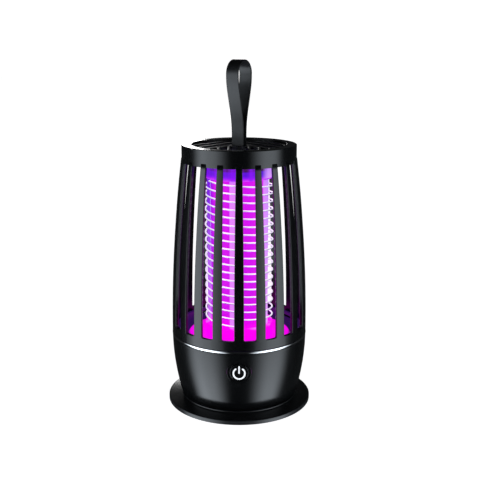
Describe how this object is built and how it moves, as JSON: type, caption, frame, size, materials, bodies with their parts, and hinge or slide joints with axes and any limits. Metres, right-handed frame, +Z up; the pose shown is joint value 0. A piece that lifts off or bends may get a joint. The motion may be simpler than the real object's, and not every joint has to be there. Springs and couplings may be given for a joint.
{
  "type": "bug zapper",
  "caption": "Portable lantern-shaped electric bug zapper: wound wire grid and violet lamp inside a barred cage on a round base with a power button and a carrying strap.",
  "frame": {"origin": "centre of the round foot, on the surface it stands on", "axes": "+Z up along the lamp; -Y is the front, where the power button is; +X is to the right seen from the front"},
  "size_m": [0.1186, 0.1186, 0.2807],
  "materials": {
    "gloss_black": "glossy moulded black plastic",
    "satin_black": "satin moulded black plastic",
    "foot_rubber": "soft black rubber",
    "strap_rubber": "smooth dark silicone rubber",
    "glow_plastic": "plastic lit violet-pink from within",
    "frosted_tube": "frosted diffuser, lit violet",
    "white_board": "white board with light chips",
    "white_mark": "white light guide",
    "circuit_board": "green solder mask",
    "battery_wrap": "shrink-wrapped cell",
    "coil_tape": "yellow insulating tape and moulding",
    "chrome_trim": "polished chrome",
    "steel": "drawn steel wire and plated steel",
    "brass": "plain brass"
  },
  "bodies": {
    "base": {"base_screw_01": "steel", "base_screw_02": "steel", "base_screw_03": "steel", "base_screw_04": "steel", "base_shell": "gloss_black", "battery": "battery_wrap", "battery_holder": "satin_black", "button_bezel": "gloss_black", "charging_socket_shell": "steel", "charging_socket_tongue": "satin_black", "deck": "glow_plastic", "foot_plate": "gloss_black", "grid_cap": "glow_plastic", "grid_frame": "glow_plastic", "grid_terminal_a": "brass", "grid_terminal_b": "brass", "grid_wire_a": "steel", "grid_wire_b": "steel", "high_voltage_capacitor": "coil_tape", "high_voltage_transformer": "coil_tape", "lamp_tube": "frosted_tube", "led_strip": "white_board", "main_board": "circuit_board", "rubber_foot_01": "foot_rubber", "rubber_foot_02": "foot_rubber", "rubber_foot_03": "foot_rubber", "rubber_foot_04": "foot_rubber", "switch_board": "circuit_board", "switch_body": "satin_black"},
    "trim_ring": {"trim_ring": "chrome_trim"},
    "cage": {"cage_band": "gloss_black", "cage_bar_01": "gloss_black", "cage_bar_02": "gloss_black", "cage_bar_03": "gloss_black", "cage_bar_04": "gloss_black", "cage_bar_05": "gloss_black", "cage_bar_06": "gloss_black", "cage_bar_07": "gloss_black", "cage_bar_08": "gloss_black", "cage_bar_09": "gloss_black", "cage_bar_10": "gloss_black", "cage_bar_11": "gloss_black", "cage_bar_12": "gloss_black", "cage_bar_13": "gloss_black", "cage_bar_14": "gloss_black", "cage_bar_15": "gloss_black", "cage_bar_16": "gloss_black", "cage_bar_17": "gloss_black", "cage_bar_18": "gloss_black", "cage_bar_19": "gloss_black", "cage_bar_20": "gloss_black", "cage_top_ring": "gloss_black", "top_grille": "satin_black", "strap_tails": "strap_rubber", "strap_bar": "steel"},
    "strap": {"strap": "strap_rubber"},
    "button": {"power_button": "gloss_black", "button_light_guide": "white_mark", "switch_plunger": "satin_black"}
  },
  "joints": [
    {"name": "cage_twist", "type": "hinge", "parent": "base", "child": "trim_ring", "pos_m": [0, 0, 0.06], "axis": [0, 0, 1], "range_deg": [-18, 0]},
    {"name": "cage_lift", "type": "slide", "parent": "trim_ring", "child": "cage", "axis": [0, 0, 1], "range_m": [0, 0.15]},
    {"name": "strap_fold", "type": "hinge", "parent": "cage", "child": "strap", "pos_m": [0, 0, 0.2182], "axis": [0.866, -0.5, 0], "range_deg": [-60, 60], "stiffness_Nm_per_rad": 0.01},
    {"name": "button_press", "type": "slide", "parent": "base", "child": "button", "axis": [0, 1, 0], "range_m": [0, 0.0006], "stiffness_N_per_m": 400}
  ]
}
